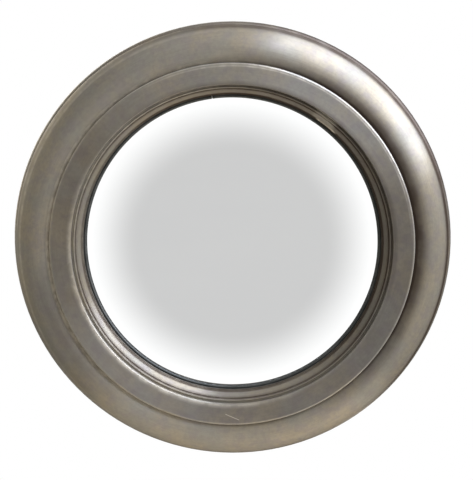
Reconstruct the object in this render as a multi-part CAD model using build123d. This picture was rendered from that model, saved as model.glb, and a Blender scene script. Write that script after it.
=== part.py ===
"""Round convex wall mirror in a stepped, turned and silver-leafed wooden frame.

All lengths are millimetres. The mirror's axis is Y. The wall is the plane y = 0, +Z is up, and the mirror
faces -Y. Turned profiles are drawn with two measures: the radius from the axis, and "forward", the distance
from the wall towards the viewer. Left and right are as the viewer sees them, so left is -X.

The frame is built up from a flat base ring, a quarter-round ring glued on its outer half, a flat-faced
step ring inside that, and a small sight moulding. A dark split slip lines the sight edge. The domed glass
goes in from behind against the slip, on a felt gasket, and is centred by cork packers. A foam ring and a
backing board press it forward, and eight turn buttons hold the board. Two strap hangers with swinging
D-rings carry the mirror, and four rubber bumpers keep it off the wall.
"""

from build123d import *
import math
import os

# Frame depths, all forward of the wall.
BASE_BACK = 7.0
BASE_THICKNESS = 15.0
BASE_FRONT = BASE_BACK + BASE_THICKNESS
STEP_FRONT = 64.0
LEDGE = 33.0

# Frame radii.
OUTER_RADIUS = 300.0
BASE_EDGE_BULGE = 4.0
BASE_EDGE_RADIUS = OUTER_RADIUS - BASE_EDGE_BULGE
REBATE_RADIUS = 213.0
GLUE_LINE = 0.1

# Quarter-round ring: a large quarter circle that rolls off into a groove on its inner side.
QUARTER_ROUND = 38.0
ROLL_OFF = 20.0
ROLL_OFF_TURN = 35.5

# Step ring: a flat face with a soft outer shoulder, falling slightly to its inner edge.
STEP_OUTER = 246.0
STEP_INNER = 216.6
STEP_SHOULDER = 3.0
STEP_ARRIS = 1.8
STEP_FACE_FALL = 2.0

# Sight moulding: a small bead, a quirk, an ovolo and a fillet, down to the sight edge.
SIGHT_RADIUS = 203.0
SIGHT_SEAT = 54.2
SIGHT_BEAD = 1.3
SIGHT_BEAD_RADIUS = 213.4
SIGHT_QUIRK = 51.0
OVOLO_OUTER = 210.6
OVOLO_INNER = 205.0
OVOLO_FOOT = 38.5
OVOLO_BULGE = 1.5
FILLET_RADIUS = 204.2
FILLET_FOOT = 35.5

# Dark slip, split by one butt joint.
SLIP_OUTER = 212.6
SLIP_INNER = 199.2
SLIP_BACK = 29.0
SLIP_CROWN = 32.9
SLIP_LIP = 30.8
SLIP_GROOVE = 31.6
SLIP_JOINT_GAP = 1.0
SLIP_JOINT_FROM_TOP = 7.7

# Domed glass, a spherical shell.
GLASS_RADIUS = 206.0
GLASS_THICKNESS = 4.0
GLASS_CURVATURE = 1500.0
GLASS_AT_SLIP = 28.2
GLASS_ARRIS = 0.6
DOME_CENTRE = GLASS_AT_SLIP - math.sqrt(GLASS_CURVATURE**2 - SLIP_INNER**2)

# What seats the glass.
GASKET_INNER = 199.8
PACKER_COUNT = 8
PACKER_LENGTH = 18.0
PACKER_BACK = 20.0
PACKER_FRONT = 26.0
FOAM_INNER = 192.0
FIT_GAP = 0.1

# Backing board, flush with the back of the base ring.
BOARD_RADIUS = 212.4
BOARD_THICKNESS = 4.0
BOARD_FRONT = BASE_BACK + BOARD_THICKNESS
BOARD_EDGE = 0.5

# Countersunk screws that hold the two front rings on the base ring.
RING_SCREW_COUNT = 8
RING_SCREW_LENGTH = 40.0
RING_SCREW_SHANK = 2.0
RING_SCREW_HEAD = 4.0
OUTER_SCREW_RADIUS = 272.0
INNER_SCREW_RADIUS = 234.0
SCREW_POINT = 5.0

# Turn buttons and the pan-head screws that they pivot on.
BUTTON_COUNT = 8
BUTTON_PIVOT_RADIUS = 221.5
BUTTON_LENGTH = 26.0
BUTTON_WIDTH = 10.0
BUTTON_THICKNESS = 1.2
BUTTON_TAIL = 5.0
BUTTON_GAP = 0.15
BUTTON_EDGE = 0.3
PAN_HEAD = 3.4
PAN_HEAD_HEIGHT = 1.9
PAN_SHANK = 1.7
PIVOT_CLEARANCE = 0.08
BUTTON_SCREW_LENGTH = 14.0

# Strap hangers, their D-rings and screws.
HANGER_X = 150.0
HANGER_Z = 214.0
STRAP_WIDTH = 12.0
STRAP_THICKNESS = 1.3
STRAP_LENGTH = 44.0
STRAP_HOLES = (15.0, 34.0)
D_WIRE = 1.4
D_HALF_WIDTH = 11.0
D_CORNER = 2.5
D_STRAIGHT = 4.0
D_REST_TILT = 6.5
KNUCKLE_INNER = D_WIRE + PIVOT_CLEARANCE
KNUCKLE_OUTER = KNUCKLE_INNER + STRAP_THICKNESS
KNUCKLE_FORWARD = BASE_BACK - KNUCKLE_OUTER
HANGER_SCREW_LENGTH = 12.0

# Rubber bumpers between the base ring and the wall.
BUMPER_COUNT = 4
BUMPER_CIRCLE = 282.0
BUMPER_BASE = 8.0
BUMPER_TIP = 6.5
BUMPER_ROUND = 0.8

RECESS_WIDTH = 0.9
RECESS_DEPTH = 1.2


def line(*corners):
    """Straight runs of a turned profile, through (radius, forward) corners."""
    return Polyline(*[(radius, -forward) for radius, forward in corners])


def arc(centre, size, start_turn, end_turn):
    """A round stretch of a turned profile. Turns are in degrees, from outwards (0) to forward (90)."""
    turns = [math.radians(t) for t in (start_turn, (start_turn + end_turn) / 2, end_turn)]
    points = [(centre[0] + size * math.cos(t), -centre[1] - size * math.sin(t)) for t in turns]
    return ThreePointArc(*points)


def bulge(start, end, height):
    """An arc between two (radius, forward) points that stands proud of the chord, to its right."""
    run = (end[0] - start[0], end[1] - start[1])
    length = math.hypot(*run)
    middle = (
        (start[0] + end[0]) / 2 + height * run[1] / length,
        (start[1] + end[1]) / 2 - height * run[0] / length,
    )
    return ThreePointArc(*[(radius, -forward) for radius, forward in (start, middle, end)])


def turned(*stretches):
    """The solid that a closed profile makes when it is turned about the mirror's axis."""
    return revolve(make_face(sum(stretches[1:], stretches[0])), Axis.Y)


def around(count, shape, first_turn=0.0):
    """Copies of a shape, evenly spaced about the mirror's axis."""
    return [Rot(Y=-(first_turn + 360 * k / count)) * shape for k in range(count)]


def facing_wall(shape, x, z, forward):
    """Puts a shape drawn about Z, with its top facing up, at a place on the back, with its top to the wall."""
    return Pos(x, -forward, z) * Rot(X=-90) * shape


def cross_recess(reach, top):
    """The driver's cross cut into a screw head whose top is at the given height."""
    blade = Box(2 * reach, RECESS_WIDTH, 2 * RECESS_DEPTH)
    return Pos(0, 0, top) * (blade + Rot(Z=90) * blade)


def countersunk_screw():
    """A wood screw drawn about Z, point down, with the top of its head at height zero."""
    cone = RING_SCREW_HEAD - RING_SCREW_SHANK
    shank = RING_SCREW_LENGTH - cone - SCREW_POINT
    outline = Polyline(
        (0, 0),
        (RING_SCREW_HEAD, 0),
        (RING_SCREW_SHANK, -cone),
        (RING_SCREW_SHANK, -cone - shank),
        (0, -RING_SCREW_LENGTH),
        close=True,
    )
    return revolve(Plane.XZ * make_face(outline), Axis.Z)


def pan_screw(length):
    """A pan-head screw drawn about Z, point down, with the underside of its head at height zero."""
    crown = PAN_HEAD_HEIGHT * 0.55
    outline = (
        Line((0, PAN_HEAD_HEIGHT), (0, -length))
        + Line((0, -length), (PAN_SHANK, -length + SCREW_POINT))
        + Line((PAN_SHANK, -length + SCREW_POINT), (PAN_SHANK, 0))
        + Line((PAN_SHANK, 0), (PAN_HEAD, 0))
        + Line((PAN_HEAD, 0), (PAN_HEAD, crown))
        + ThreePointArc((PAN_HEAD, crown), (PAN_HEAD * 0.72, PAN_HEAD_HEIGHT * 0.9), (0, PAN_HEAD_HEIGHT))
    )
    return revolve(Plane.XZ * make_face(outline), Axis.Z)


def ring_screw_places(circle, half_step):
    """Where one circle of ring screws goes, as (x, z) pairs."""
    turns = [math.radians(360 / RING_SCREW_COUNT * (k + half_step)) for k in range(RING_SCREW_COUNT)]
    return [(circle * math.cos(t), circle * math.sin(t)) for t in turns]


OUTER_SCREW_PLACES = ring_screw_places(OUTER_SCREW_RADIUS, 0.5)
INNER_SCREW_PLACES = ring_screw_places(INNER_SCREW_RADIUS, 0.0)
BUTTON_TURNS = [360 / BUTTON_COUNT * (k + 0.5) for k in range(BUTTON_COUNT)]
STRAP_SCREW_PLACES = [(x, HANGER_Z - drop) for x in (-HANGER_X, HANGER_X) for drop in STRAP_HOLES]


def ring_screws(places):
    """Whole countersunk screws, flush with the back of the base ring."""
    screw = countersunk_screw()
    return [facing_wall(screw, x, z, BASE_BACK) for x, z in places]


def with_recess(screw, reach, top):
    """A screw with the driver's cross cut into its head."""
    return screw - cross_recess(reach, top)


def button_screws():
    """The pivots of the turn buttons, standing on the back of the base ring."""
    screw = pan_screw(BUTTON_SCREW_LENGTH + BUTTON_THICKNESS + 2 * BUTTON_GAP)
    seat = BASE_BACK - BUTTON_THICKNESS - 2 * BUTTON_GAP
    places = [math.radians(t) for t in BUTTON_TURNS]
    return [
        (screw, BUTTON_PIVOT_RADIUS * math.cos(t), BUTTON_PIVOT_RADIUS * math.sin(t), seat) for t in places
    ]


def strap_screws():
    """The pan-head screws that hold both straps."""
    screw = pan_screw(HANGER_SCREW_LENGTH + STRAP_THICKNESS)
    return [(screw, x, z, BASE_BACK - STRAP_THICKNESS) for x, z in STRAP_SCREW_PLACES]


def base_ring():
    """The flat ring at the back, with a rounded outer edge and every screw hole."""
    ring = turned(
        line(
            (BASE_EDGE_RADIUS, BASE_BACK),
            (REBATE_RADIUS, BASE_BACK),
            (REBATE_RADIUS, BASE_FRONT),
            (BASE_EDGE_RADIUS, BASE_FRONT),
        ),
        bulge((BASE_EDGE_RADIUS, BASE_FRONT), (BASE_EDGE_RADIUS, BASE_BACK), -BASE_EDGE_BULGE),
    )
    for screw in ring_screws(OUTER_SCREW_PLACES + INNER_SCREW_PLACES):
        ring -= screw
    for shape, x, z, forward in button_screws() + strap_screws():
        ring -= facing_wall(shape, x, z, forward)
    return ring


def quarter_round_ring():
    """The broad outer moulding, glued and screwed to the base ring."""
    crest = BASE_EDGE_RADIUS - QUARTER_ROUND
    crest_forward = BASE_FRONT + QUARTER_ROUND
    roll_centre = (crest, crest_forward - ROLL_OFF)
    roll_end = math.radians(90 + ROLL_OFF_TURN)
    groove = (roll_centre[0] + ROLL_OFF * math.cos(roll_end), roll_centre[1] + ROLL_OFF * math.sin(roll_end))
    inner = STEP_OUTER + GLUE_LINE
    ring = turned(
        arc((crest, BASE_FRONT), QUARTER_ROUND, 0, 90),
        arc(roll_centre, ROLL_OFF, 90, 90 + ROLL_OFF_TURN),
        line(groove, (inner, groove[1]), (inner, BASE_FRONT), (BASE_EDGE_RADIUS, BASE_FRONT)),
    )
    for screw in ring_screws(OUTER_SCREW_PLACES):
        ring -= screw
    return ring


def step_ring():
    """The raised flat-faced ring, with a ledge behind its inner edge that carries the sight moulding."""
    face_inner = STEP_FRONT - STEP_FACE_FALL
    ring = turned(
        line((STEP_OUTER, BASE_FRONT), (STEP_OUTER, STEP_FRONT - STEP_SHOULDER)),
        arc((STEP_OUTER - STEP_SHOULDER, STEP_FRONT - STEP_SHOULDER), STEP_SHOULDER, 0, 90),
        line((STEP_OUTER - STEP_SHOULDER, STEP_FRONT), (STEP_INNER + STEP_ARRIS, face_inner)),
        arc((STEP_INNER + STEP_ARRIS, face_inner - STEP_ARRIS), STEP_ARRIS, 90, 180),
        line(
            (STEP_INNER, face_inner - STEP_ARRIS),
            (STEP_INNER, LEDGE),
            (REBATE_RADIUS, LEDGE),
            (REBATE_RADIUS, BASE_FRONT),
            (STEP_OUTER, BASE_FRONT),
        ),
    )
    for screw in ring_screws(INNER_SCREW_PLACES):
        ring -= screw
    return ring


def sight_moulding():
    """The small moulding round the opening: seat, bead, quirk, ovolo, fillet and sight edge."""
    outer = STEP_INNER - GLUE_LINE
    bead_inner = SIGHT_BEAD_RADIUS - SIGHT_BEAD
    return turned(
        line((outer, LEDGE), (outer, SIGHT_SEAT), (SIGHT_BEAD_RADIUS + SIGHT_BEAD, SIGHT_SEAT)),
        arc((SIGHT_BEAD_RADIUS, SIGHT_SEAT), SIGHT_BEAD, 0, 180),
        line((bead_inner, SIGHT_SEAT), (bead_inner, SIGHT_QUIRK), (OVOLO_OUTER, SIGHT_QUIRK)),
        bulge((OVOLO_OUTER, SIGHT_QUIRK), (OVOLO_INNER, OVOLO_FOOT), OVOLO_BULGE),
        line(
            (OVOLO_INNER, OVOLO_FOOT),
            (FILLET_RADIUS, OVOLO_FOOT),
            (FILLET_RADIUS, FILLET_FOOT),
            (SIGHT_RADIUS, FILLET_FOOT),
            (SIGHT_RADIUS, LEDGE),
            (outer, LEDGE),
        ),
    )


def split_slip():
    """The dark ring that lines the sight edge, with a rounded face and one butt joint near the top."""
    groove = (SIGHT_RADIUS - 0.4, SLIP_GROOVE)
    crown = ((groove[0] + SLIP_INNER) / 2, SLIP_CROWN)
    face = [(radius, -forward) for radius, forward in (groove, crown, (SLIP_INNER, SLIP_LIP))]
    ring = turned(
        line((SLIP_OUTER, SLIP_BACK), (SLIP_OUTER, LEDGE), (SIGHT_RADIUS + 0.4, LEDGE), groove),
        ThreePointArc(*face),
        line((SLIP_INNER, SLIP_LIP), (SLIP_INNER, SLIP_BACK), (SLIP_OUTER, SLIP_BACK)),
    )
    joint = Pos(0, -SLIP_BACK, (SLIP_INNER + SLIP_OUTER) / 2) * Box(SLIP_JOINT_GAP, 20, 20)
    return ring - Rot(Y=-SLIP_JOINT_FROM_TOP) * joint


def dome_forward(radius, curvature):
    """How far forward a sphere about the dome's centre reaches, at a radius from the axis."""
    return DOME_CENTRE + math.sqrt(curvature**2 - radius**2)


def dome_arc(curvature, inner, outer):
    """The stretch of that sphere between two radii, from the inner one outwards."""
    radii = (inner, (inner + outer) / 2, outer)
    return ThreePointArc(*[(r, -dome_forward(r, curvature)) for r in radii])


def domed_glass():
    """The convex mirror glass, silvered behind, with a small arris ground on both edges."""
    back_curvature = GLASS_CURVATURE - GLASS_THICKNESS
    arris = GLASS_RADIUS - GLASS_ARRIS
    front_edge = dome_forward(arris, GLASS_CURVATURE)
    back_edge = dome_forward(arris, back_curvature)
    return turned(
        dome_arc(GLASS_CURVATURE, 0, arris),
        line(
            (arris, front_edge),
            (GLASS_RADIUS, front_edge - GLASS_ARRIS),
            (GLASS_RADIUS, back_edge + GLASS_ARRIS),
            (arris, back_edge),
        ),
        dome_arc(back_curvature, 0, arris),
        line((0, dome_forward(0, back_curvature)), (0, dome_forward(0, GLASS_CURVATURE))),
    )


def felt_gasket():
    """The felt ring between the back of the slip and the face of the glass."""
    outer = GLASS_RADIUS - GLASS_ARRIS
    return turned(
        dome_arc(GLASS_CURVATURE, GASKET_INNER, outer),
        line(
            (outer, dome_forward(outer, GLASS_CURVATURE)),
            (outer, SLIP_BACK),
            (GASKET_INNER, SLIP_BACK),
            (GASKET_INNER, dome_forward(GASKET_INNER, GLASS_CURVATURE)),
        ),
    )


def cork_packers():
    """Blocks that centre the glass in the rebate."""
    inner = GLASS_RADIUS + FIT_GAP
    outer = REBATE_RADIUS - FIT_GAP
    collar = turned(
        line(
            (inner, PACKER_BACK),
            (outer, PACKER_BACK),
            (outer, PACKER_FRONT),
            (inner, PACKER_FRONT),
            (inner, PACKER_BACK),
        )
    )
    block = collar & Pos(outer, -(PACKER_BACK + PACKER_FRONT) / 2, 0) * Box(30, 30, PACKER_LENGTH)
    return around(PACKER_COUNT, block)


def foam_ring():
    """The foam ring that the backing board presses against the back of the glass."""
    outer = GLASS_RADIUS - GLASS_ARRIS
    curvature = GLASS_CURVATURE - GLASS_THICKNESS
    return turned(
        dome_arc(curvature, FOAM_INNER, outer),
        line(
            (outer, dome_forward(outer, curvature)),
            (outer, BOARD_FRONT),
            (FOAM_INNER, BOARD_FRONT),
            (FOAM_INNER, dome_forward(FOAM_INNER, curvature)),
        ),
    )


def backing_board():
    """The removable hardboard disc that closes the back."""
    board = Cylinder(BOARD_RADIUS, BOARD_THICKNESS, align=(Align.CENTER, Align.CENTER, Align.MAX))
    return facing_wall(chamfer(board.edges(), BOARD_EDGE), 0, 0, BASE_BACK)


def turn_button(turn):
    """One flat steel button, pointing inwards over the edge of the backing board."""
    reach = BUTTON_LENGTH - BUTTON_TAIL
    middle = (reach - BUTTON_TAIL) / 2
    plate = extrude(Pos(middle, 0) * SlotOverall(BUTTON_LENGTH, BUTTON_WIDTH), BUTTON_THICKNESS)
    plate = chamfer(plate.faces().sort_by(Axis.Z)[-1].edges(), BUTTON_EDGE)
    plate -= Cylinder(PAN_SHANK + PIVOT_CLEARANCE, 4 * BUTTON_THICKNESS)
    forward = BASE_BACK - BUTTON_GAP
    inwards = facing_wall(Rot(Z=180) * plate, BUTTON_PIVOT_RADIUS, 0, forward)
    return Rot(Y=-turn) * inwards


def strap(x):
    """One strap plate with its knuckle, drawn across X and standing at its place on the back."""
    plate = Pos(0, 0, -STRAP_LENGTH / 2) * Box(STRAP_WIDTH, STRAP_THICKNESS, STRAP_LENGTH)
    foot = plate.edges().filter_by(Axis.Y).group_by(Axis.Z)[0]
    plate = Pos(0, -(BASE_BACK - STRAP_THICKNESS / 2), 0) * fillet(foot, STRAP_WIDTH / 2 - 0.01)
    across = Pos(0, -KNUCKLE_FORWARD, 0) * Rot(Y=90)
    knuckle = across * Cylinder(KNUCKLE_OUTER, STRAP_WIDTH)
    bore = across * Cylinder(KNUCKLE_INNER, 2 * STRAP_WIDTH)
    slit_forward = BASE_BACK - STRAP_THICKNESS - 0.3
    slit = Pos(0, -slit_forward, -KNUCKLE_OUTER / 2 - 0.6) * Box(2 * STRAP_WIDTH, 0.6, KNUCKLE_OUTER)
    shape = plate + knuckle - bore - slit
    for drop in STRAP_HOLES:
        shape -= Pos(0, -BASE_BACK, -drop) * Rot(X=90) * Cylinder(PAN_SHANK, 4 * STRAP_THICKNESS)
    return Pos(x, 0, HANGER_Z) * shape


def d_ring(x):
    """One D-ring of round wire, hanging down over its strap and leaning just off the upper screw head."""
    bar = D_HALF_WIDTH - D_CORNER
    bottom = D_CORNER + D_STRAIGHT
    corner_mid = D_CORNER * (1 - math.sqrt(0.5))
    right_corner = ThreePointArc((bar, 0), (D_HALF_WIDTH - corner_mid, -corner_mid), (D_HALF_WIDTH, -D_CORNER))
    left_corner = ThreePointArc((-D_HALF_WIDTH, -D_CORNER), (-D_HALF_WIDTH + corner_mid, -corner_mid), (-bar, 0))
    path = Wire(
        [
            Line((0, 0), (bar, 0)),
            right_corner,
            Line((D_HALF_WIDTH, -D_CORNER), (D_HALF_WIDTH, -bottom)),
            ThreePointArc((D_HALF_WIDTH, -bottom), (0, -bottom - D_HALF_WIDTH), (-D_HALF_WIDTH, -bottom)),
            Line((-D_HALF_WIDTH, -bottom), (-D_HALF_WIDTH, -D_CORNER)),
            left_corner,
            Line((-bar, 0), (0, 0)),
        ]
    )
    ring = sweep(Plane.YZ * Circle(D_WIRE), path)
    return Pos(x, -KNUCKLE_FORWARD, HANGER_Z) * Rot(X=90 + D_REST_TILT) * ring


def bumpers():
    """Four tapered rubber bumpers whose small ends touch the wall."""
    cone = Cone(BUMPER_BASE, BUMPER_TIP, BASE_BACK, align=(Align.CENTER, Align.CENTER, Align.MIN))
    cone = fillet(cone.edges().sort_by(Axis.Z)[-1], BUMPER_ROUND)
    return around(BUMPER_COUNT, facing_wall(cone, BUMPER_CIRCLE, 0, BASE_BACK), 45.0)


def pan_heads(screws):
    """Pan-head screws at their places, each with its driver's cross."""
    shapes = []
    for shape, x, z, forward in screws:
        shapes.append(facing_wall(with_recess(shape, 2.0, PAN_HEAD_HEIGHT), x, z, forward))
    return shapes


def flush_screws(places):
    """Countersunk screws at their places, each with its driver's cross."""
    screw = with_recess(countersunk_screw(), 2.2, 0.0)
    return [facing_wall(screw, x, z, BASE_BACK) for x, z in places]


def all_nodes():
    """Every node of the mirror, by name."""
    nodes = {
        "base_ring": base_ring(),
        "quarter_round_ring": quarter_round_ring(),
        "step_ring": step_ring(),
        "sight_moulding": sight_moulding(),
        "split_slip": split_slip(),
        "domed_glass": domed_glass(),
        "felt_gasket": felt_gasket(),
        "cork_packers": cork_packers(),
        "foam_ring": foam_ring(),
        "backing_board": backing_board(),
        "outer_ring_screws": flush_screws(OUTER_SCREW_PLACES),
        "step_ring_screws": flush_screws(INNER_SCREW_PLACES),
        "turn_button_screws": pan_heads(button_screws()),
        "strap_screws": pan_heads(strap_screws()),
        "wall_bumpers": bumpers(),
    }
    for number, turn in enumerate(BUTTON_TURNS, start=1):
        nodes[f"turn_button_{number}"] = turn_button(turn)
    for side, x in (("left", -HANGER_X), ("right", HANGER_X)):
        nodes[f"strap_{side}"] = strap(x)
        nodes[f"d_ring_{side}"] = d_ring(x)
    return nodes


os.makedirs("parts", exist_ok=True)
for name, shape in all_nodes().items():
    if isinstance(shape, list):
        shape = Compound(children=shape)
    export_step(shape, f"parts/{name}.step")
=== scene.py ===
"""Looks for the round convex wall mirror: leafed frame, domed glass, hardware, soft studio light, camera.

Everything is in metres in the CAD frame: the mirror's axis is Y, the wall is y = 0 and the glass faces -Y.
Turned profiles are given in millimetres as (radius, forward), where forward is the distance from the wall.
Turns round the axis are in degrees: 0 is right, 90 is up, 180 is left and 270 is down.
"""

import math
from typing import NamedTuple

import bmesh
import bpy
import numpy as np
from mathutils import Matrix, Vector, noise


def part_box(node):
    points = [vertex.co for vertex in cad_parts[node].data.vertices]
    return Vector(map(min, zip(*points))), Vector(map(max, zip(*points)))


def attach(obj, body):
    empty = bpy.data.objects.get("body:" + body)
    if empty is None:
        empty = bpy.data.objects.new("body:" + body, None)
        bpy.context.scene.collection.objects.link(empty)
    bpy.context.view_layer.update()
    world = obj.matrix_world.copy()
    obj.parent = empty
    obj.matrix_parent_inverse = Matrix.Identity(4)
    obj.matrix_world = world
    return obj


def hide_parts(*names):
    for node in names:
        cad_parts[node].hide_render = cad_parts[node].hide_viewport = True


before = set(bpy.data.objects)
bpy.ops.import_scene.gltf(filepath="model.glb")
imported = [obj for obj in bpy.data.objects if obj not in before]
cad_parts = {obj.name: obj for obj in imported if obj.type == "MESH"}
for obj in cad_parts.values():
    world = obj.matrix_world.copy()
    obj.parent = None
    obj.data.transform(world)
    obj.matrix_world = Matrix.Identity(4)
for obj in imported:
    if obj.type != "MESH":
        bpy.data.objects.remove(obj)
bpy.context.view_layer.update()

MM = 0.001

# Fineness of the turned meshes. Steps along flats are in millimetres, and the angles in radians.
AROUND = 720
ARC_STEP = math.radians(4.0)
LEAST_ARC_STEPS = 3
FLAT_STEP = 3.0
FINE_STEP = 0.5
STRAIGHT = 1e-3
SAME_PLACE = 1e-7
SHORTEST = 1e-9
SHARP_EDGE = math.radians(32)

# The profiles, in millimetres. First the quarter-round ring, whose roll turns through an angle in radians.
BACK_EDGE = 0.4
ROLL_RADIUS = 20.0
ROLL_ROUNDING = ROLL_RADIUS - 0.01
ROLL_TURN = math.radians(35.5)
GROOVE_FOOT = 0.29
GROOVE_ROUNDING = 0.5

# Step ring. The face has two extra points, for the bright line along its outer edge.
STEP_WALL = 216.6
STEP_LEDGE = 33.0
STEP_FALL = 2.0
STEP_SHOULDER = 3.0
STEP_ARRIS = 1.8
FACE_LINE = (241.7, 240.2)

# Sight moulding.
BEAD = 1.3
BEAD_OUTER = 214.7
BEAD_INNER = 212.1
BEAD_ROUNDING = BEAD - 0.05
QUIRK_FLOOR = 51.0
QUIRK_INNER = 210.6
QUIRK_ROUNDING = 0.25
OVOLO_TOP_ROUNDING = 0.8
OVOLO_SHOULDER = (208.6, 46.4)
OVOLO_ROUNDING = 9.0
OVOLO_FOOT = (205.0, 38.5)
OVOLO_FOOT_ROUNDING = 0.5
FILLET_RADIUS = 204.2
FILLET_FOOT = 35.5
SMALL_ROUNDING = 0.3
SEAT_ROUNDING = 0.2

# Slip. The place of its joint round the axis is in radians.
SLIP_SHELF = 203.4
SLIP_GROOVE = (202.6, 31.6)
SLIP_GROOVE_ROUNDING = 0.2
SLIP_CROWN = 200.9
SLIP_CROWN_ROUNDING = 1.6
SLIP_LIP = 30.8
SLIP_LIP_ROUNDING = 0.3
SLIP_JOINT_GAP = 1.0
SLIP_JOINT_TURN = math.pi / 2 + math.radians(7.7)

# Glass.
GLASS_CURVATURE = 1500.0
GLASS_THICKNESS = 4.0
GLASS_ARRIS = 0.6
GLASS_RINGS = 60
BACK_RING_STEP = 3

# The ball that finds hollows and edges, in millimetres.
BALL = 3.0

# How deep, in metres, the hand-finished surfaces are uneven, and how many waves they have in a metre.
LEAF_DEPTH = 0.0003
SLIP_DEPTH = 0.00008
BROAD_WAVES = 22.0
FINE_WAVES = 75.0
BROAD_SHARE = 0.38
FINE_SHARE = 0.12


# ---------------------------------------------------------------------------------------------------------
# Turned profiles
# ---------------------------------------------------------------------------------------------------------


def extent(node):
    """Inner radius, outer radius, back and front of a turned CAD node, in millimetres."""
    places = np.array([v.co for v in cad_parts[node].data.vertices]) / MM
    radii = np.hypot(places[:, 0], places[:, 2])
    return radii.min(), radii.max(), -places[:, 1].max(), -places[:, 1].min()


def corner_points(here, before, after, size):
    """The points of a rounded corner, from the directions to its neighbours. A sharp corner is one point."""
    turn = math.pi - math.acos(np.clip(before @ after, -1, 1))
    if size <= 0 or turn < STRAIGHT:
        return [here]
    start = here + before * (size * math.tan(turn / 2))
    centre = here + (before + after) / np.linalg.norm(before + after) * size / math.cos(turn / 2)
    x_axis = (start - centre) / size
    y_axis = -before
    steps = max(LEAST_ARC_STEPS, math.ceil(turn / ARC_STEP))
    turns = np.linspace(0, turn, steps + 1)
    return [centre + size * (math.cos(a) * x_axis + math.sin(a) * y_axis) for a in turns]


def rounded(corners):
    """A closed outline through (radius, forward, rounding) corners, as densely spaced points."""
    outline = []
    for k, (r, f, size) in enumerate(corners):
        here = np.array((r, f))
        before = np.array(corners[k - 1][:2]) - here
        after = np.array(corners[(k + 1) % len(corners)][:2]) - here
        before = before / np.linalg.norm(before)
        after = after / np.linalg.norm(after)
        outline += corner_points(here, before, after, size)
    return divided(np.array(outline), FLAT_STEP)


def divided(outline, step):
    """The same closed outline with points at most a step apart."""
    points = []
    for start, end in zip(outline, np.roll(outline, -1, axis=0)):
        pieces = max(1, math.ceil(np.linalg.norm(end - start) / step))
        points += [start + (end - start) * k / pieces for k in range(pieces)]
    return np.array(points)


def quarter_round_profile():
    """The broad outer moulding: a quarter circle that rolls off into the groove."""
    inner, outer, back, front = extent("quarter_round_ring")
    drop = ROLL_RADIUS * (1 - math.cos(ROLL_TURN))
    groove = inner + GROOVE_FOOT
    corner = groove + ROLL_RADIUS * math.tan(ROLL_TURN / 2) * math.cos(ROLL_TURN)
    return rounded(
        [
            (inner, back, 0),
            (outer, back, BACK_EDGE),
            (outer, front, front - back - BACK_EDGE),
            (corner, front, ROLL_ROUNDING),
            (groove, front - drop, GROOVE_ROUNDING),
            (inner, front - drop, 0),
        ]
    )


def step_profile():
    """The raised ring: a nearly flat face between a soft shoulder and a small arris."""
    inner, outer, back, front = extent("step_ring")
    slope = STEP_FALL / (outer - STEP_WALL)
    line = [(r, front - slope * (outer - r), 0) for r in FACE_LINE]
    return rounded(
        [
            (inner, back, 0),
            (outer, back, 0),
            (outer, front, STEP_SHOULDER),
            *line,
            (STEP_WALL, front - STEP_FALL, STEP_ARRIS),
            (STEP_WALL, STEP_LEDGE, 0),
            (inner, STEP_LEDGE, 0),
        ]
    )


def sight_profile():
    """The small moulding round the glass: seat, bead, quirk, ovolo, fillet and sight edge."""
    inner, outer, back, front = extent("sight_moulding")
    seat = front - BEAD
    return rounded(
        [
            (inner, back, 0),
            (outer, back, 0),
            (outer, seat, 0),
            (BEAD_OUTER, seat, SEAT_ROUNDING),
            (BEAD_OUTER, front, BEAD_ROUNDING),
            (BEAD_INNER, front, BEAD_ROUNDING),
            (BEAD_INNER, QUIRK_FLOOR, QUIRK_ROUNDING),
            (QUIRK_INNER, QUIRK_FLOOR, OVOLO_TOP_ROUNDING),
            (*OVOLO_SHOULDER, OVOLO_ROUNDING),
            (*OVOLO_FOOT, OVOLO_FOOT_ROUNDING),
            (FILLET_RADIUS, OVOLO_FOOT[1], SMALL_ROUNDING),
            (FILLET_RADIUS, FILLET_FOOT, SMALL_ROUNDING),
            (inner, FILLET_FOOT, SMALL_ROUNDING),
        ]
    )


def slip_profile():
    """The dark slip: a shallow rounded face between the sight edge and the glass."""
    inner, outer, back, front = extent("split_slip")
    return rounded(
        [
            (inner, back, 0),
            (outer, back, 0),
            (outer, front, 0),
            (SLIP_SHELF, front, 0),
            (*SLIP_GROOVE, SLIP_GROOVE_ROUNDING),
            (SLIP_CROWN, front, SLIP_CROWN_ROUNDING),
            (inner, SLIP_LIP, SLIP_LIP_ROUNDING),
        ]
    )


def glass_profile():
    """The domed glass from its middle out to its ground edge and back, as an open line."""
    _, outer, _, apex = extent("domed_glass")
    centre = apex - GLASS_CURVATURE
    back_curvature = GLASS_CURVATURE - GLASS_THICKNESS
    radii = np.linspace(0, outer - GLASS_ARRIS, GLASS_RINGS)
    front = [(r, centre + math.sqrt(GLASS_CURVATURE**2 - r**2)) for r in radii]
    back = [(r, centre + math.sqrt(back_curvature**2 - r**2)) for r in radii[::-BACK_RING_STEP]]
    edge = [(outer, front[-1][1] - GLASS_ARRIS), (outer, back[0][1] + GLASS_ARRIS)]
    return np.array(front + edge + back + [(0.0, apex - GLASS_THICKNESS)])


def lengths(vectors):
    """The length of each vector, as a column to divide by."""
    return np.linalg.norm(vectors, axis=1)[:, None]


def outward_normals(outline):
    """The (radius, forward) normals of a closed outline, pointing out of the wood."""
    ahead = np.roll(outline, -1, axis=0) - outline
    behind = outline - np.roll(outline, 1, axis=0)
    tangent = ahead / lengths(ahead) + behind / lengths(behind)
    tangent /= np.maximum(lengths(tangent), SHORTEST)
    r, f = outline.T
    area = np.sum(r * np.roll(f, -1) - np.roll(r, -1) * f)
    return np.stack((tangent[:, 1], -tangent[:, 0]), axis=1) * np.sign(area)


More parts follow.
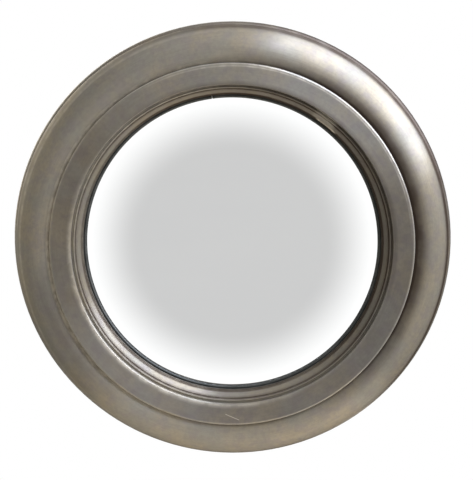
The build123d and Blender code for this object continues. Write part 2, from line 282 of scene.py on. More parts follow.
def ball_meets(outline, surroundings, size):
    """How far, from 0 to 1, a ball pressed on each point of an outline runs into what is round it.

    A ball outside the wood (size over 0) finds hollows, for patina and painted shade. One inside it finds
    edges, for painted highlights.
    """
    centres = outline + outward_normals(outline) * size
    gaps = np.linalg.norm(surroundings[None, :, :] - centres[:, None, :], axis=2).min(axis=1)
    return np.clip(1 - gaps / abs(size), 0, 1)


# ---------------------------------------------------------------------------------------------------------
# Turned meshes
# ---------------------------------------------------------------------------------------------------------


def unevenness(place, depth):
    """How deep, in metres, the hand-finished surface lies under the true one at a place."""
    broad = noise.noise(place * BROAD_WAVES)
    fine = noise.noise(place * FINE_WAVES + Vector((7, 3, 5)))
    return depth * (0.5 + BROAD_SHARE * broad + FINE_SHARE * fine)


def turned_points(outline, normals, turns, depth):
    """The outline's points at every turn, sunk under the true surface by the unevenness."""
    points = []
    for t in turns:
        c, s = math.cos(t), math.sin(t)
        for (r, f), (nr, nf) in zip(outline * MM, normals):
            under = unevenness(Vector((r * c, -f, r * s)), depth) if depth else 0.0
            r, f = r - nr * under, f - nf * under
            points.append((r * c, -f, r * s))
    return points


def turned_faces(around, along, closed, split):
    """The faces between neighbouring turns. A split ring is capped at both ends of its gap."""
    columns = around - 1 if split else around
    rows = along if closed else along - 1
    faces = [
        (
            i * along + j,
            i * along + (j + 1) % along,
            (i + 1) % around * along + (j + 1) % along,
            (i + 1) % around * along + j,
        )
        for i in range(columns)
        for j in range(rows)
    ]
    if split:
        faces.append(tuple(range(along)))
        faces.append(tuple(range((around - 1) * along, around * along)))
    return faces


def lathe(name, outline, closed=True, depth=0.0, gap=0.0, gap_turn=0.0, masks=None):
    """A mesh turned about the mirror's axis. A gap, in millimetres, leaves a butt joint at gap_turn."""
    normals = outward_normals(outline) if closed else np.zeros_like(outline)
    half_gap = gap / 2 / outline[:, 0].mean()
    first, last = gap_turn + half_gap, gap_turn + 2 * math.pi - half_gap
    turns = np.linspace(first, last, AROUND, endpoint=bool(gap))
    points = turned_points(outline, normals, turns, depth)
    mesh = bpy.data.meshes.new(name)
    mesh.from_pydata(points, [], turned_faces(len(turns), len(outline), closed, bool(gap)))
    for mask, share_at in (masks or {}).items():
        attribute = mesh.attributes.new(mask, "FLOAT", "POINT")
        attribute.data.foreach_set("value", share_at(outline, turns).ravel().astype(np.float32))
    mend(mesh, merge=not closed)
    mesh.shade_smooth()
    mesh.set_sharp_from_angle(angle=SHARP_EDGE)
    piece = bpy.data.objects.new(name, mesh)
    bpy.context.scene.collection.objects.link(piece)
    return piece


def mend(mesh, merge):
    """Turns all faces outwards. Merging joins the points that an open line leaves on the axis."""
    working = bmesh.new()
    working.from_mesh(mesh)
    if merge:
        bmesh.ops.remove_doubles(working, verts=working.verts, dist=SAME_PLACE)
    bmesh.ops.recalc_face_normals(working, faces=working.faces)
    working.to_mesh(mesh)
    working.free()


# ---------------------------------------------------------------------------------------------------------
# Patina and painted shade, wear and painted highlights round the frame
#
# Each map is a sum of layers. A layer is a share along the profile, bounded by radii and forwards in
# millimetres, times a share round the axis, given by a turn and a reach in degrees.
# ---------------------------------------------------------------------------------------------------------


def towards(turns, centre, reach):
    """1 at a direction round the axis, falling to 0 at a reach on both sides of it. In degrees."""
    away = np.abs((np.degrees(turns) - centre + 180) % 360 - 180)
    return np.cos(np.radians(np.clip(away / reach, 0, 1) * 90)) ** 0.8


def between(values, start, end):
    """A smooth step from 0 at the start to 1 at the end."""
    share = np.clip((values - start) / (end - start), 0, 1)
    return share * share * (3 - 2 * share)


def near(values, middle, width):
    """1 in the middle of a soft narrow band, falling to 0 within a few widths."""
    return np.exp(-(((values - middle) / width) ** 2))


def within(values, low, high):
    """1 between two values, 0 outside them."""
    return (values > low) * (values < high)


def layered(layers):
    """Adds up layers, each a share round the axis and a share along the profile, held from 0 to 1."""
    total = sum(np.outer(round_axis, along_profile) for round_axis, along_profile in layers)
    return np.clip(total, 0, 1)


def patina_and_shade_map(outline, turns, everything):
    """How much dark wax and painted shade lies at each point: wax in the hollows and on the rim, painted
    shade in the groove, on the rim and round the mouldings, thicker on the right.
    """
    radius, forward = outline.T
    # Painted shade: these weights round the axis make the leaf darker on some sides than others; only the
    # even shares below are dark wax.
    right = towards(turns, 15, 78)
    upper_right = towards(turns, 40, 100)
    top = towards(turns, 84, 62)
    bottom = towards(turns, 272, 32)
    lower_left = towards(turns, 235, 60)

    hollow = ball_meets(outline, everything, BALL)
    # Painted shade: the groove is darkened on the right.
    groove = between(radius, 270, 252) * (radius > 246) * (forward > 50)
    # A darker patch on the roll-off at the lower left.
    lower_left_roll = between(radius, 276, 262) * (radius > 247) * (forward > 50)
    rim = between(forward, 44, 37) * (radius > 270)
    rim_front = between(forward, 47, 39) * (radius > 270)
    joint = near(forward, 23, 2.5) * (radius > 290)
    face = between(radius, 245, 242) * between(radius, 217, 219) * (forward > 60)
    inner_edge = between(radius, 223, 219) * (radius > 216) * (forward > 54)
    sight = between(radius, 216.59, 216.5) * (forward > 38)
    quirk = between(radius, 208.5, 211) * (radius < 213.6) * (forward < 55.2)
    lip = between(forward, 41, 38) * (radius < 207)

    # Painted shade on the rim, most at the upper right and at the bottom, over a little dark wax all round.
    rim_patina_and_shade = 0.1 + 0.85 * towards(turns, 35, 90) + 0.6 * bottom
    # The joint's dark line, with painted shade deeper towards the upper right.
    joint_patina_and_shade = 0.15 + 0.7 * towards(turns, 50, 125)
    # Painted shade on the sight at the upper right, taken away where the small painted glint sits at 54
    # degrees.
    sight_patina_and_shade = 0.05 + 0.36 * upper_right - 0.8 * towards(turns, 54, 5)
    return layered(
        [
            (0.12 + 0.3 * right, hollow),
            (0.86 * right, groove),
            (0.42 * towards(turns, 210, 26), lower_left_roll),
            (rim_patina_and_shade, rim),
            (0.42 - 0.3 * top, face),
            (0.45 * towards(turns, 55, 90), inner_edge),
            (0.6 * towards(turns, 350, 45), rim_front),
            (joint_patina_and_shade, joint),
            (sight_patina_and_shade, sight),
            (0.45 - 0.1 * upper_right + 0.4 * lower_left, quirk),
            (0.5 + 0.46 * np.maximum(upper_right, lower_left), lip),
        ]
    )


def highlight_and_wear_map(outline, turns, everything):
    """How bright the leaf is at each point: rubbed a little on the shoulder all round, with painted
    highlights on the edges, mostly on one side, painted glints at the upper right, and painted light deep in
    the left of the groove.
    """
    radius, forward = outline.T
    # Painted light: these weights round the axis put painted highlights and light on some sides only; only
    # the shoulder's even share is rubbed leaf.
    left = towards(turns, 175, 100)
    lower_left = towards(turns, 222, 75)
    upper_right = towards(turns, 60, 60)

    # Painted highlight on the edges at the lower left.
    lit_edges = between(ball_meets(outline, everything, -BALL), 0.05, 0.5)
    # The shoulder, rubbed bright all round, with a painted highlight on the left.
    shoulder = near(forward, 62.9, 0.5) * within(radius, 243, 247)
    # Painted highlight along the face's outer edge at the upper right.
    line = near(radius, 241.8, 1.0) * (forward > 62)
    # Painted light deep in the left of the groove.
    groove = between(radius, 251.5, 248.5) * (radius > 246) * (forward > 50)
    # Painted highlight along the rim on the left.
    rim_highlight = near(forward, 45.3, 1.4) * (radius > 280)
    # Painted highlights on the face's inner edge and the arris at the lower left.
    face_edge = between(radius, 224, 218.5) * (radius > 218) * (forward > 60)
    arris = between(radius, 219, 218) * (radius > 216) * (forward > 58)
    # Painted glints at the upper right on the inner wall and the fillet, and painted light on the seat at the
    # upper left.
    inner_wall = within(radius, 216.5, 216.9) * (forward > 54.5)
    fillet = (radius < 206) * within(forward, 37.5, 40)
    seat = within(radius, 212, 216.59) * (forward > 52)

    return layered(
        [
            (0.25 * lower_left, lit_edges),
            (0.5 + 0.35 * towards(turns, 170, 70), shoulder),
            (0.9 * upper_right, line),
            (0.85 * left, groove),
            (0.55 * towards(turns, 165, 80), rim_highlight),
            (0.5 * lower_left, face_edge),
            (0.2 * lower_left, arris),
            (2.0 * towards(turns, 54, 6), inner_wall),
            (2.0 * towards(turns, 52, 5), fillet),
            (0.35 * towards(turns, 128, 50), seat),
        ]
    )


# ---------------------------------------------------------------------------------------------------------
# Materials
# ---------------------------------------------------------------------------------------------------------


class Nodes:
    """A node tree, and short ways to add nodes to it."""

    def __init__(self, tree):
        self.tree = tree

    def node(self, kind, inputs=(), **settings):
        made = self.tree.nodes.new("ShaderNode" + kind)
        for key, value in settings.items():
            setattr(made, key, value)
        for key, value in dict(inputs).items():
            self.feed(made.inputs[key], value)
        return made

    def feed(self, target, value):
        if isinstance(value, bpy.types.NodeSocket):
            self.tree.links.new(value, target)
        else:
            target.default_value = value

    def math(self, operation, a, b=0.0):
        return self.node("Math", {0: a, 1: b}, operation=operation).outputs[0]

    def vector(self, operation, a, b):
        return self.node("VectorMath", {0: a, 1: b}, operation=operation)

    def ramp(self, value, low, high, from_value=0.0, to_value=1.0):
        """A smooth step from from_value where the input is low to to_value where it is high."""
        inputs = {0: value, 1: low, 2: high, 3: from_value, 4: to_value}
        return self.node("MapRange", inputs, interpolation_type="SMOOTHSTEP").outputs[0]

    def mix(self, share, a, b, blend="MIX"):
        made = self.node("Mix", data_type="RGBA", blend_type=blend)
        sockets = {socket.identifier: socket for socket in made.inputs}
        self.feed(sockets["Factor_Float"], share)
        for key, colour in (("A_Color", a), ("B_Color", b)):
            self.feed(sockets[key], (*colour, 1.0) if isinstance(colour, tuple) else colour)
        return next(socket for socket in made.outputs if socket.identifier == "Result_Color")


class Shader(Nodes):
    """A material with one Principled shader, and the patterns that feed it. Pattern scales are per metre."""

    def __init__(self, name, **values):
        self.material = bpy.data.materials.new(name)
        self.material.use_nodes = True
        super().__init__(self.material.node_tree)
        self.surface = self.tree.nodes["Principled BSDF"]
        for socket, value in values.items():
            self.surface.inputs[socket.replace("_", " ")].default_value = value

    def drive(self, socket, value):
        self.tree.links.new(value, self.surface.inputs[socket])

    def place(self):
        return self.node("TexCoord").outputs["Object"]

    def mask(self, name):
        return self.node("Attribute", attribute_name=name).outputs["Fac"]

    def scaled(self, vector, factors):
        return self.vector("MULTIPLY", vector, factors).outputs[0]

    def grain(self, vector, scale, detail=3.0, roughness=0.55):
        inputs = {"Vector": vector, "Scale": scale, "Detail": detail, "Roughness": roughness}
        return self.node("TexNoise", inputs).outputs["Fac"]

    def cells(self, vector, scale, feature="F1", output="Distance"):
        inputs = {"Vector": vector, "Scale": scale}
        return self.node("TexVoronoi", inputs, feature=feature).outputs[output]

    def bump(self, height, distance, strength=1.0, before=None):
        inputs = {"Height": height, "Distance": distance, "Strength": strength}
        if before is not None:
            inputs["Normal"] = before
        return self.node("Bump", inputs).outputs["Normal"]

    def round_the_axis(self, across, along):
        """Brush marks that run round the mirror's axis: fine across them, slow along them."""
        x, y, z = self.node("SeparateXYZ", {0: self.place()}).outputs
        squares = self.math("ADD", self.math("MULTIPLY", x, x), self.math("MULTIPLY", z, z))
        radius = self.math("SQRT", squares)
        round_x = self.math("MULTIPLY", self.math("DIVIDE", x, radius), along)
        round_z = self.math("MULTIPLY", self.math("DIVIDE", z, radius), along)
        vector = self.node("CombineXYZ", {0: round_x, 1: self.math("MULTIPLY", y, across), 2: round_z})
        inputs = {
            "Vector": vector.outputs[0],
            "W": self.math("MULTIPLY", radius, across),
            "Scale": 1.0,
            "Detail": 4.0,
            "Roughness": 0.6,
        }
        return self.node("TexNoise", inputs, noise_dimensions="4D").outputs["Fac"]

    def turned_sheen(self):
        """Lays the shader's stretched highlight round the mirror's axis."""
        self.drive("Tangent", self.node("Tangent", direction_type="RADIAL", axis="Y").outputs[0])


LEAF_COOL = (0.243, 0.229, 0.190)
LEAF_WARM = (0.280, 0.244, 0.180)
# Painted highlights and glints, the rubbed leaf and the scratch take this colour.
LEAF_HIGHLIGHT_AND_WEAR = (0.53, 0.478, 0.388)
LEAF_DULL = (0.180, 0.160, 0.135)
LEAF_MAUVE = (0.225, 0.196, 0.186)
LEAF_BRUSHED = (0.150, 0.131, 0.108)
# Dark wax in the hollows, and painted shade, take this colour.
PATINA_AND_SHADE = (0.045, 0.031, 0.022)
FACE_TINT = (0.98, 1.01, 1.07)
GRAZING_TINT = (0.55, 0.53, 0.50, 1.0)
LEAF_METALLIC = 0.7
# The most that the patina and painted shade darken the leaf.
MOST_PATINA_AND_SHADE = 0.95

# Where, in metres, the raised face begins, and where from left to right its cooler tint comes in.
RAISED_FACE = (-0.0612, -0.0604)
COOLER_FACE = (-0.2, -0.05)

# How far forward of the base ring's back, in metres, the leaf round its edge comes in, and how raggedly.
LEAF_FROM = -0.0004
LEAF_TO = 0.0008
LEAF_RAGGED = 0.002

SCRATCH_ENDS = (-0.0085, -0.2308), (0.0095, -0.2385)
SCRATCH_WIDTH = 0.0009
SCRATCH_STRENGTH = 0.6

WOOD_DARK, WOOD_LIGHT = (0.034, 0.023, 0.016), (0.088, 0.059, 0.039)
SLIP_DARK, SLIP_LIGHT = (0.029, 0.031, 0.028), (0.050, 0.050, 0.045)
GLASS_HAZY, GLASS_CLEAR = (0.925, 0.93, 0.93), (0.935, 0.94, 0.938)
BOARD_DARK, BOARD_LIGHT = (0.165, 0.098, 0.056), (0.235, 0.145, 0.084)
BOARD_FIBRE, BOARD_SCREEN = (0.33, 0.23, 0.15), (0.09, 0.052, 0.03)
RUBBER, RUBBER_BLOOM = (0.018, 0.018, 0.018), (0.05, 0.049, 0.047)
FELT_DARK, FELT_LIGHT = (0.36, 0.35, 0.32), (0.60, 0.585, 0.54)
CORK, CORK_GAPS = (0.36, 0.22, 0.115), (0.1, 0.055, 0.03)
FOAM_LIGHT, FOAM_DARK = (0.82, 0.82, 0.80), (0.62, 0.62, 0.60)
FLOOR_DARK, FLOOR_LIGHT = (0.87, 0.77, 0.615), (0.90, 0.80, 0.645)
ZINC = (0.50, 0.49, 0.455)
NICKEL = (0.56, 0.545, 0.505)
BUTTON_STEEL = (0.40, 0.39, 0.37)


def leaf_colour(shader, patina_and_shade_share, highlight_and_wear_share):
    """Antiqued silver leaf: faint clouds, brush marks, dark patina with painted shade, rubbed edges with
    painted highlights, and a cooler raised face.
    """
    place = shader.place()
    clouds = shader.ramp(shader.grain(place, scale=18.0, detail=5.0), 0.36, 0.64)
    colour = shader.mix(clouds, LEAF_COOL, LEAF_WARM)
    mauve = shader.ramp(shader.grain(place, scale=75.0, detail=3.0), 0.45, 0.65, 0.0, 0.5)
    colour = shader.mix(mauve, colour, LEAF_MAUVE)
    mottle = shader.ramp(shader.grain(place, scale=210.0, detail=4.0, roughness=0.65), 0.35, 0.7, 0.0, 0.35)
    colour = shader.mix(mottle, colour, LEAF_DULL)
    brushing = shader.round_the_axis(900.0, 7.0)
    colour = shader.mix(shader.ramp(brushing, 0.3, 0.75, 0.0, 0.25), colour, LEAF_BRUSHED)
    cover = shader.ramp(shader.grain(place, scale=38.0), 0.25, 0.65, 0.86, 1.08)
    # Patina and painted shade.
    patina_and_shade = shader.math("MINIMUM", shader.math("MULTIPLY", patina_and_shade_share, cover), MOST_PATINA_AND_SHADE)
    colour = shader.mix(patina_and_shade, colour, PATINA_AND_SHADE)
    # Rubbed leaf and painted highlights.
    highlight_and_wear_breakup = shader.ramp(shader.grain(place, scale=90.0), 0.4, 0.62, 0.5, 1.0)
    colour = shader.mix(shader.math("MULTIPLY", highlight_and_wear_share, highlight_and_wear_breakup), colour, LEAF_HIGHLIGHT_AND_WEAR)
    x, y, _ = shader.node("SeparateXYZ", {0: place}).outputs
    raised = shader.ramp(y, *RAISED_FACE, 1.0, 0.0)
    cooler = shader.math("MULTIPLY", raised, shader.ramp(x, *COOLER_FACE))
    return shader.mix(cooler, colour, FACE_TINT, "MULTIPLY"), brushing, patina_and_shade


def scratch(shader):
    """1 on one short fine scratch across the bottom of the raised ring, 0 elsewhere."""
    (x0, z0), (x1, z1) = SCRATCH_ENDS
    start, along = Vector((x0, 0, z0)), Vector((x1 - x0, 0, z1 - z0))
    flat = shader.scaled(shader.place(), (1.0, 0.0, 1.0))
    away = shader.vector("SUBTRACT", flat, start).outputs[0]
    share = shader.vector("DOT_PRODUCT", away, along / along.length_squared).outputs["Value"]
    held = shader.node("Clamp", {"Value": share}).outputs[0]
    foot = shader.node("VectorMath", {0: tuple(along), "Scale": held}, operation="SCALE").outputs[0]
    gap = shader.vector("DISTANCE", away, foot).outputs["Value"]
    return shader.ramp(gap, 0.2 * SCRATCH_WIDTH, 0.7 * SCRATCH_WIDTH, 1.0, 0.0)


def finish_leaf(shader, brushing, patina_and_shade):
    """The leaf's sheen and relief: soft brush marks, slight waves and a few pits."""
    place = shader.place()
    haze = shader.ramp(shader.grain(place, scale=30.0), 0.3, 0.7, 0.36, 0.44)
    roughness = shader.math("ADD", haze, shader.math("MULTIPLY", patina_and_shade, 0.12))
    shader.drive("Roughness", roughness)
    pits = shader.ramp(shader.cells(place, scale=55.0), 0.0, 0.035, 0.0, 1.0)
    rough_bump = shader.bump(shader.grain(place, scale=140.0, detail=2.0), distance=0.00012, strength=0.5)
    brushed = shader.bump(brushing, distance=0.00006, strength=0.5, before=rough_bump)
    shader.drive("Normal", shader.bump(pits, distance=0.0002, strength=0.6, before=brushed))


def leaf_material(name):
    """Silver leaf for the turned rings, whose meshes carry masks of patina with painted shade and of wear
    with painted highlights.
    """
    shader = Shader(
        name, Metallic=LEAF_METALLIC, Anisotropic=0.9, Anisotropic_Rotation=0.25, Specular_Tint=GRAZING_TINT
    )
    colour, brushing, patina_and_shade = leaf_colour(shader, shader.mask("patina_and_shade"), shader.mask("highlight_and_wear"))
    scratched = shader.math("MULTIPLY", scratch(shader), SCRATCH_STRENGTH)
    shader.drive("Base Color", shader.mix(scratched, colour, LEAF_HIGHLIGHT_AND_WEAR))
    finish_leaf(shader, brushing, patina_and_shade)
    shader.turned_sheen()
    return shader.material


def base_material():
    """The base ring: dark stained wood behind, leafed round its rounded edge."""
    shader = Shader("base_ring_wood_and_leaf", Anisotropic=0.4, Anisotropic_Rotation=0.25)
    place = shader.place()
    x, y, z = shader.node("SeparateXYZ", {0: place}).outputs
    back = -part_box("base_ring")[1].y
    ragged = shader.math("ADD", y, shader.math("MULTIPLY", shader.grain(place, scale=70.0), LEAF_RAGGED))
    leafed = shader.ramp(ragged, -(back + LEAF_TO), -(back + LEAF_FROM), 1.0, 0.0)
    fibres = shader.grain(shader.scaled(place, (9.0, 60.0, 260.0)), scale=1.0, detail=5.0, roughness=0.65)
    wood = shader.mix(shader.ramp(fibres, 0.3, 0.7), WOOD_DARK, WOOD_LIGHT)
    # Painted shade: the leaf round the edge is darker towards the right and the upper right.
    to_the_right = shader.ramp(x, -0.3, -0.1, 0.2, 0.5)
    to_the_upper_right = shader.ramp(shader.math("ADD", x, z), 0.28, 0.42, 0.0, 0.5)
    patina_and_shade_share = shader.math("ADD", to_the_right, to_the_upper_right)
    leaf, _, _ = leaf_colour(shader, patina_and_shade_share, 0.0)
    shader.drive("Base Color", shader.mix(leafed, wood, leaf))
    shader.drive("Metallic", shader.math("MULTIPLY", leafed, LEAF_METALLIC))
    shader.drive("Roughness", shader.ramp(leafed, 0.0, 1.0, 0.62, 0.42))
    shader.drive("Normal", shader.bump(fibres, distance=0.00015, strength=0.6))
    shader.turned_sheen()
    return shader.material


def slip_material():
    """The ebonised slip: a dark, polished lacquer, a little cloudy."""
    shader = Shader("ebonised_slip", Metallic=0.6, IOR=1.5)
    clouds = shader.grain(shader.place(), scale=40.0, detail=4.0)
    shader.drive("Base Color", shader.mix(shader.ramp(clouds, 0.35, 0.65), SLIP_DARK, SLIP_LIGHT))
    shader.drive("Roughness", shader.ramp(clouds, 0.3, 0.7, 0.42, 0.55))
    shader.drive("Normal", shader.bump(shader.round_the_axis(1200.0, 9.0), distance=0.00004, strength=0.5))
    return shader.material


def mirror_material():
    """Silvered glass: bright, with the faintest haze and wipe marks."""
    shader = Shader("mirror_glass", Metallic=1.0)
    place = shader.place()
    haze = shader.grain(place, scale=9.0, detail=5.0)
    wipes = shader.grain(shader.scaled(place, (6.0, 6.0, 30.0)), scale=1.0, detail=4.0)
    both = shader.math("ADD", haze, wipes)
    shader.drive("Base Color", shader.mix(shader.ramp(both, 0.7, 1.3), GLASS_HAZY, GLASS_CLEAR))
    shader.drive("Roughness", shader.ramp(both, 0.8, 1.3, 0.012, 0.035))
    return shader.material


def hardboard_material():
    """Brown pressed fibreboard, with its fine screen pattern and stray fibres."""
    shader = Shader("hardboard")
    place = shader.place()
    lines = {"Vector": place, "Scale": 160.0}
    upright = shader.node("TexWave", lines, bands_direction="X").outputs["Fac"]
    level = shader.node("TexWave", lines, bands_direction="Z").outputs["Fac"]
    screen = shader.math("MULTIPLY", upright, level)
    fibres = shader.grain(shader.scaled(place, (220.0, 220.0, 480.0)), scale=1.0, detail=4.0, roughness=0.7)
    clouds = shader.grain(place, scale=11.0, detail=5.0)
    colour = shader.mix(shader.ramp(clouds, 0.3, 0.7), BOARD_DARK, BOARD_LIGHT)
    colour = shader.mix(shader.ramp(fibres, 0.5, 0.75, 0.0, 0.45), colour, BOARD_FIBRE)
    colour = shader.mix(shader.ramp(screen, 0.0, 0.8, 0.25, 0.0), colour, BOARD_SCREEN)
    shader.drive("Base Color", colour)
    shader.drive("Roughness", shader.ramp(fibres, 0.3, 0.7, 0.6, 0.78))
    weave = shader.bump(screen, distance=0.0003, strength=0.5)
    shader.drive("Normal", shader.bump(fibres, distance=0.00015, strength=0.5, before=weave))
    return shader.material


def plated_material(name, tone, roughness):
    """Zinc or nickel plated steel: cloudy, with fine handling scratches."""
    shader = Shader(name, Metallic=1.0)
    place = shader.place()
    spangle = shader.cells(place, scale=420.0, output="Color")
    scratches = shader.grain(shader.scaled(place, (2600.0, 300.0, 500.0)), scale=1.0, detail=3.0)
    dull = tuple(0.72 * c for c in tone)
    clouds = shader.ramp(shader.grain(place, scale=160.0, detail=4.0), 0.3, 0.7)
    colour = shader.mix(clouds, dull, tone)
    shader.drive("Base Color", shader.mix(0.06, colour, spangle, blend="OVERLAY"))
    shader.drive("Roughness", shader.ramp(scratches, 0.3, 0.7, roughness - 0.06, roughness + 0.1))
    shader.drive("Normal", shader.bump(scratches, distance=0.00003, strength=0.4))
    return shader.material


def rubber_material():
    """Black bumper rubber with a dusty bloom."""
    shader = Shader("bumper_rubber")
    bloom = shader.grain(shader.place(), scale=260.0, detail=4.0)
    shader.drive("Base Color", shader.mix(shader.ramp(bloom, 0.4, 0.7), RUBBER, RUBBER_BLOOM))
    shader.drive("Roughness", shader.ramp(bloom, 0.3, 0.7, 0.5, 0.7))
    shader.drive("Normal", shader.bump(bloom, distance=0.00008, strength=0.5))
    return shader.material


def felt_material():
    """Pale grey wool felt."""
    shader = Shader("felt", Roughness=0.95, Sheen_Weight=0.4)
    fuzz = shader.grain(shader.place(), scale=900.0, detail=5.0, roughness=0.7)
    shader.drive("Base Color", shader.mix(shader.ramp(fuzz, 0.3, 0.7), FELT_DARK, FELT_LIGHT))
    shader.drive("Normal", shader.bump(fuzz, distance=0.0003, strength=0.8))
    return shader.material


def cork_material():
    """Pressed cork granules."""
    shader = Shader("cork", Roughness=0.85)
    place = shader.place()
    granules = shader.cells(place, scale=480.0, output="Color")
    gaps = shader.cells(place, scale=480.0, feature="DISTANCE_TO_EDGE")
    colour = shader.mix(0.25, CORK, granules, blend="OVERLAY")
    shader.drive("Base Color", shader.mix(shader.ramp(gaps, 0.0, 0.09, 0.7, 0.0), colour, CORK_GAPS))
    shader.drive("Normal", shader.bump(gaps, distance=0.0002, strength=0.6))
    return shader.material


def foam_material():
    """White closed-cell foam."""
    shader = Shader("foam", Roughness=0.8)
    bubbles = shader.cells(shader.place(), scale=1100.0, feature="SMOOTH_F1")
    shader.drive("Base Color", shader.mix(shader.ramp(bubbles, 0.1, 0.7), FOAM_LIGHT, FOAM_DARK))
    shader.drive("Normal", shader.bump(bubbles, distance=0.0002, strength=0.7))
    return shader.material


def floor_material():
    """Plain pale floor with a trace of unevenness."""
    shader = Shader("floor", Roughness=0.75)
    clouds = shader.grain(shader.place(), scale=3.0, detail=4.0)
    shader.drive("Base Color", shader.mix(shader.ramp(clouds, 0.3, 0.7), FLOOR_DARK, FLOOR_LIGHT))
    return shader.material


def paint(obj, material):
    """Gives an object one material, in place of what it had."""
    obj.data.materials.clear()
    obj.data.materials.append(material)


# ---------------------------------------------------------------------------------------------------------
# The pieces
# ---------------------------------------------------------------------------------------------------------


def replace_turned(node, outline, material, slot, **options):
    """A finely turned piece that stands for a CAD node on the frame body."""
    piece = lathe(node + "_turned", outline, **options)
    paint(piece, material)
    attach(piece, "frame")
    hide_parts(node)


def make_frame():
    """The leafed rings, with patina and painted shade in their hollows and round them, and rubbed edges with
    painted highlights.
    """
    profiles = {
        "quarter_round_ring": quarter_round_profile(),
        "step_ring": step_profile(),
        "sight_moulding": sight_profile(),
    }
    everything = np.concatenate([divided(outline, FINE_STEP) for outline in profiles.values()])
    leaf = leaf_material("antiqued_silver_leaf")
    masks = {
        "patina_and_shade": lambda outline, turns: patina_and_shade_map(outline, turns, everything),
        "highlight_and_wear": lambda outline, turns: highlight_and_wear_map(outline, turns, everything),
    }
    for node, outline in profiles.items():
        replace_turned(node, outline, leaf, "silver_leaf", depth=LEAF_DEPTH, masks=masks)


def make_glass():
    """The domed glass and the dark slip that frames it."""
    replace_turned("domed_glass", glass_profile(), mirror_material(), "mirror_glass", closed=False)
    joint = {"gap": SLIP_JOINT_GAP, "gap_turn": SLIP_JOINT_TURN}
    replace_turned("split_slip", slip_profile(), slip_material(), "ebonised_wood", depth=SLIP_DEPTH, **joint)


def paint_hardware():
    """Materials for the CAD nodes that are shown as they are."""
    zinc = plated_material("zinc_screws", ZINC, 0.36)
    nickel = plated_material("nickel_plate", NICKEL, 0.26)
    steel = plated_material("button_steel", BUTTON_STEEL, 0.38)
    looks = {
        "base_ring": base_material(),
        "backing_board": hardboard_material(),
        "wall_bumpers": rubber_material(),
        "felt_gasket": felt_material(),
        "cork_packers": cork_material(),
        "foam_ring": foam_material(),
    }
    for node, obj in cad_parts.items():
        if node.endswith("_screws"):
            looks[node] = zinc
        elif node.startswith(("strap_", "d_ring_")):
            looks[node] = nickel
        elif node.startswith("turn_button_"):
            looks[node] = steel
        if node in looks:
            paint(obj, looks[node])


# ---------------------------------------------------------------------------------------------------------
# Camera, light and floor
# ---------------------------------------------------------------------------------------------------------

VIEW_AZIMUTH = math.radians(0.8)
VIEW_ELEVATION = math.radians(8.75)
VIEW_DISTANCE = 1.8
VIEW_CENTRE = Vector((0, -0.04, 0))
AIM_RIGHT = 0.00604
AIM_UP = 0.00665
LENS = 99.43
SENSOR_WIDTH = 36.0


def add_camera():
    """The camera stands a little above the mirror and looks slightly down at it."""
    data = bpy.data.cameras.new("camera")
    data.lens = LENS
    data.sensor_width = SENSOR_WIDTH
    camera = bpy.data.objects.new("camera", data)
    bpy.context.scene.collection.objects.link(camera)
    level = math.cos(VIEW_ELEVATION)
    back = Vector((math.sin(VIEW_AZIMUTH) * level, -math.cos(VIEW_AZIMUTH) * level, math.sin(VIEW_ELEVATION)))
    right = Vector((math.cos(VIEW_AZIMUTH), math.sin(VIEW_AZIMUTH), 0))
    up = right.cross(-back)
    camera.location = VIEW_CENTRE + back * VIEW_DISTANCE
    aim = VIEW_CENTRE + right * AIM_RIGHT + up * AIM_UP
    camera.rotation_euler = (aim - camera.location).to_track_quat("-Z", "Y").to_euler()
    bpy.context.scene.camera = camera


def direction(off_axis, turn):
    """The direction at an angle off the mirror's axis, turned round it from the right. In degrees."""
    off, t = math.radians(off_axis), math.radians(turn)
    return Vector((math.sin(off) * math.cos(t), -math.cos(off), math.sin(off) * math.sin(t)))


WINDOW_OFF_AXIS = 73.5
WINDOW_TURN = 47.0
WINDOW_DISTANCE = 2.0
WINDOW_WIDTH = 2.3
WINDOW_HEIGHT = 2.2
WINDOW_RADIANCE = 8.2
WINDOW_COLOUR = (0.89, 0.975, 1.19)


def add_window():
    """One large soft light at the upper right, which faces the mirror. Two sides run out from the axis."""
    data = bpy.data.lights.new("window", "AREA")
    data.shape = "RECTANGLE"
    data.size = WINDOW_WIDTH
    data.size_y = WINDOW_HEIGHT
    data.energy = WINDOW_RADIANCE * math.pi * WINDOW_WIDTH * WINDOW_HEIGHT
    data.color = WINDOW_COLOUR
    light = bpy.data.objects.new("window", data)
    bpy.context.scene.collection.objects.link(light)
    outward = direction(WINDOW_OFF_AXIS, WINDOW_TURN)
    sideways = Vector((0, -1, 0)).cross(outward).normalized()
    upward = outward.cross(sideways)
    facing = Matrix((sideways, upward, outward)).transposed().to_4x4()
    light.matrix_world = Matrix.Translation(outward * WINDOW_DISTANCE) @ facing
    light.visible_camera = False


# The pale screen in front of the mirror, with its grey middle. The edges are angles, in degrees.
GREY, WHITE = 0.655, 1.14
GREY_EDGE, WHITE_EDGE = (13.4, 22.5), (24.0, 32.0)
SCREEN_RISE = 0.011

ROOM = (0.42, 0.405, 0.37)
ROOM_BEHIND = (0.20, 0.185, 0.165)
BEHIND_EDGE = (10.0, 75.0)


class Glow(NamedTuple):
    """A soft patch of light in the room. Its place and its inner and outer edge are in degrees."""

    off_axis: float
    turn: float
    inner: float
    outer: float
    colour: tuple


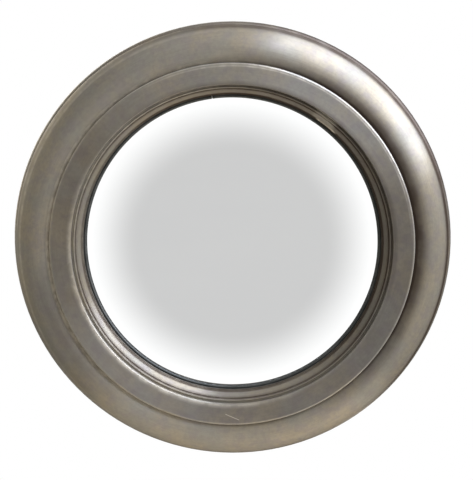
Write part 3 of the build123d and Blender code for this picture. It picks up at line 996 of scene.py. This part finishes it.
ROOM_GLOWS = {
    "right": Glow(80.0, 22.0, 5.0, 42.0, (1.38, 1.35, 1.36)),
    "top": Glow(76.0, 95.0, 10.0, 48.0, (0.62, 0.59, 0.55)),
    "low right": Glow(72.0, 345.0, 10.0, 45.0, (0.50, 0.48, 0.44)),
    "behind, upper left": Glow(152.0, 150.0, 8.0, 34.0, (5.0, 4.8, 4.4)),
    "left": Glow(112.0, 175.0, 12.0, 42.0, (0.75, 0.73, 0.67)),
    "behind, lower left": Glow(146.0, 232.0, 2.0, 9.0, (2.4, 2.3, 2.1)),
    "behind, lower right": Glow(146.0, 298.0, 2.0, 9.0, (4.6, 4.4, 4.0)),
    "front, top": Glow(38.0, 78.0, 5.0, 30.0, (0.45, 0.43, 0.40)),
    "front, lower right": Glow(45.0, 300.0, 5.0, 35.0, (0.45, 0.42, 0.36)),
}


def light_room():
    """A dim room with soft glows, and a pale screen with a grey middle in front of the mirror."""
    world = bpy.data.worlds.new("studio")
    bpy.context.scene.world = world
    world.use_nodes = True
    sky = Nodes(world.node_tree)
    sky.tree.nodes.clear()
    looking = sky.node("TexCoord").outputs["Generated"]

    def glow(centre, inner, outer):
        """1 within the inner angle of a direction, 0 beyond the outer one."""
        cosine = sky.vector("DOT_PRODUCT", looking, centre).outputs["Value"]
        angle = sky.math("ARCCOSINE", cosine)
        return sky.ramp(angle, math.radians(inner), math.radians(outer), 1.0, 0.0)

    light = sky.mix(glow(Vector((0, 1, 0)), *BEHIND_EDGE), ROOM, ROOM_BEHIND)
    for patch in ROOM_GLOWS.values():
        share = glow(direction(patch.off_axis, patch.turn), patch.inner, patch.outer)
        light = sky.mix(share, light, patch.colour, "ADD")
    glass_front = Vector((0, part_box("domed_glass")[0].y, 0))
    seen = bpy.context.scene.camera.location - glass_front
    screen = Vector((-seen.x, seen.y, -seen.z + SCREEN_RISE)).normalized()
    light = sky.mix(glow(screen, *WHITE_EDGE), light, (WHITE,) * 3)
    light = sky.mix(glow(screen, *GREY_EDGE), light, (GREY,) * 3)
    room = sky.node("Background", {"Color": light, "Strength": 1.0}).outputs[0]
    backdrop = sky.node("Background", {"Color": (1, 1, 1, 1), "Strength": 1.0}).outputs[0]
    straight = sky.node("LightPath").outputs["Is Camera Ray"]
    both = sky.node("MixShader", {0: straight, 1: room, 2: backdrop}).outputs[0]
    sky.node("OutputWorld", {"Surface": both})


FLOOR_DROP = 0.9
FLOOR_LEFT = -0.706
FLOOR_RIGHT = 0.80
FLOOR_FRONT = -1.03
FLOOR_BACK = 0.12


def add_floor():
    """A plain pale floor under the mirror, clear of the camera's view."""
    corners = [
        (FLOOR_LEFT, FLOOR_FRONT, -FLOOR_DROP),
        (FLOOR_RIGHT, FLOOR_FRONT, -FLOOR_DROP),
        (FLOOR_RIGHT, FLOOR_BACK, -FLOOR_DROP),
        (FLOOR_LEFT, FLOOR_BACK, -FLOOR_DROP),
    ]
    mesh = bpy.data.meshes.new("floor")
    mesh.from_pydata(corners, [], [(0, 1, 2, 3)])
    floor = bpy.data.objects.new("floor", mesh)
    bpy.context.scene.collection.objects.link(floor)
    paint(floor, floor_material())


add_camera()
make_frame()
make_glass()
paint_hardware()
light_room()
add_window()
add_floor()
bpy.context.scene.view_settings.view_transform = "Standard"
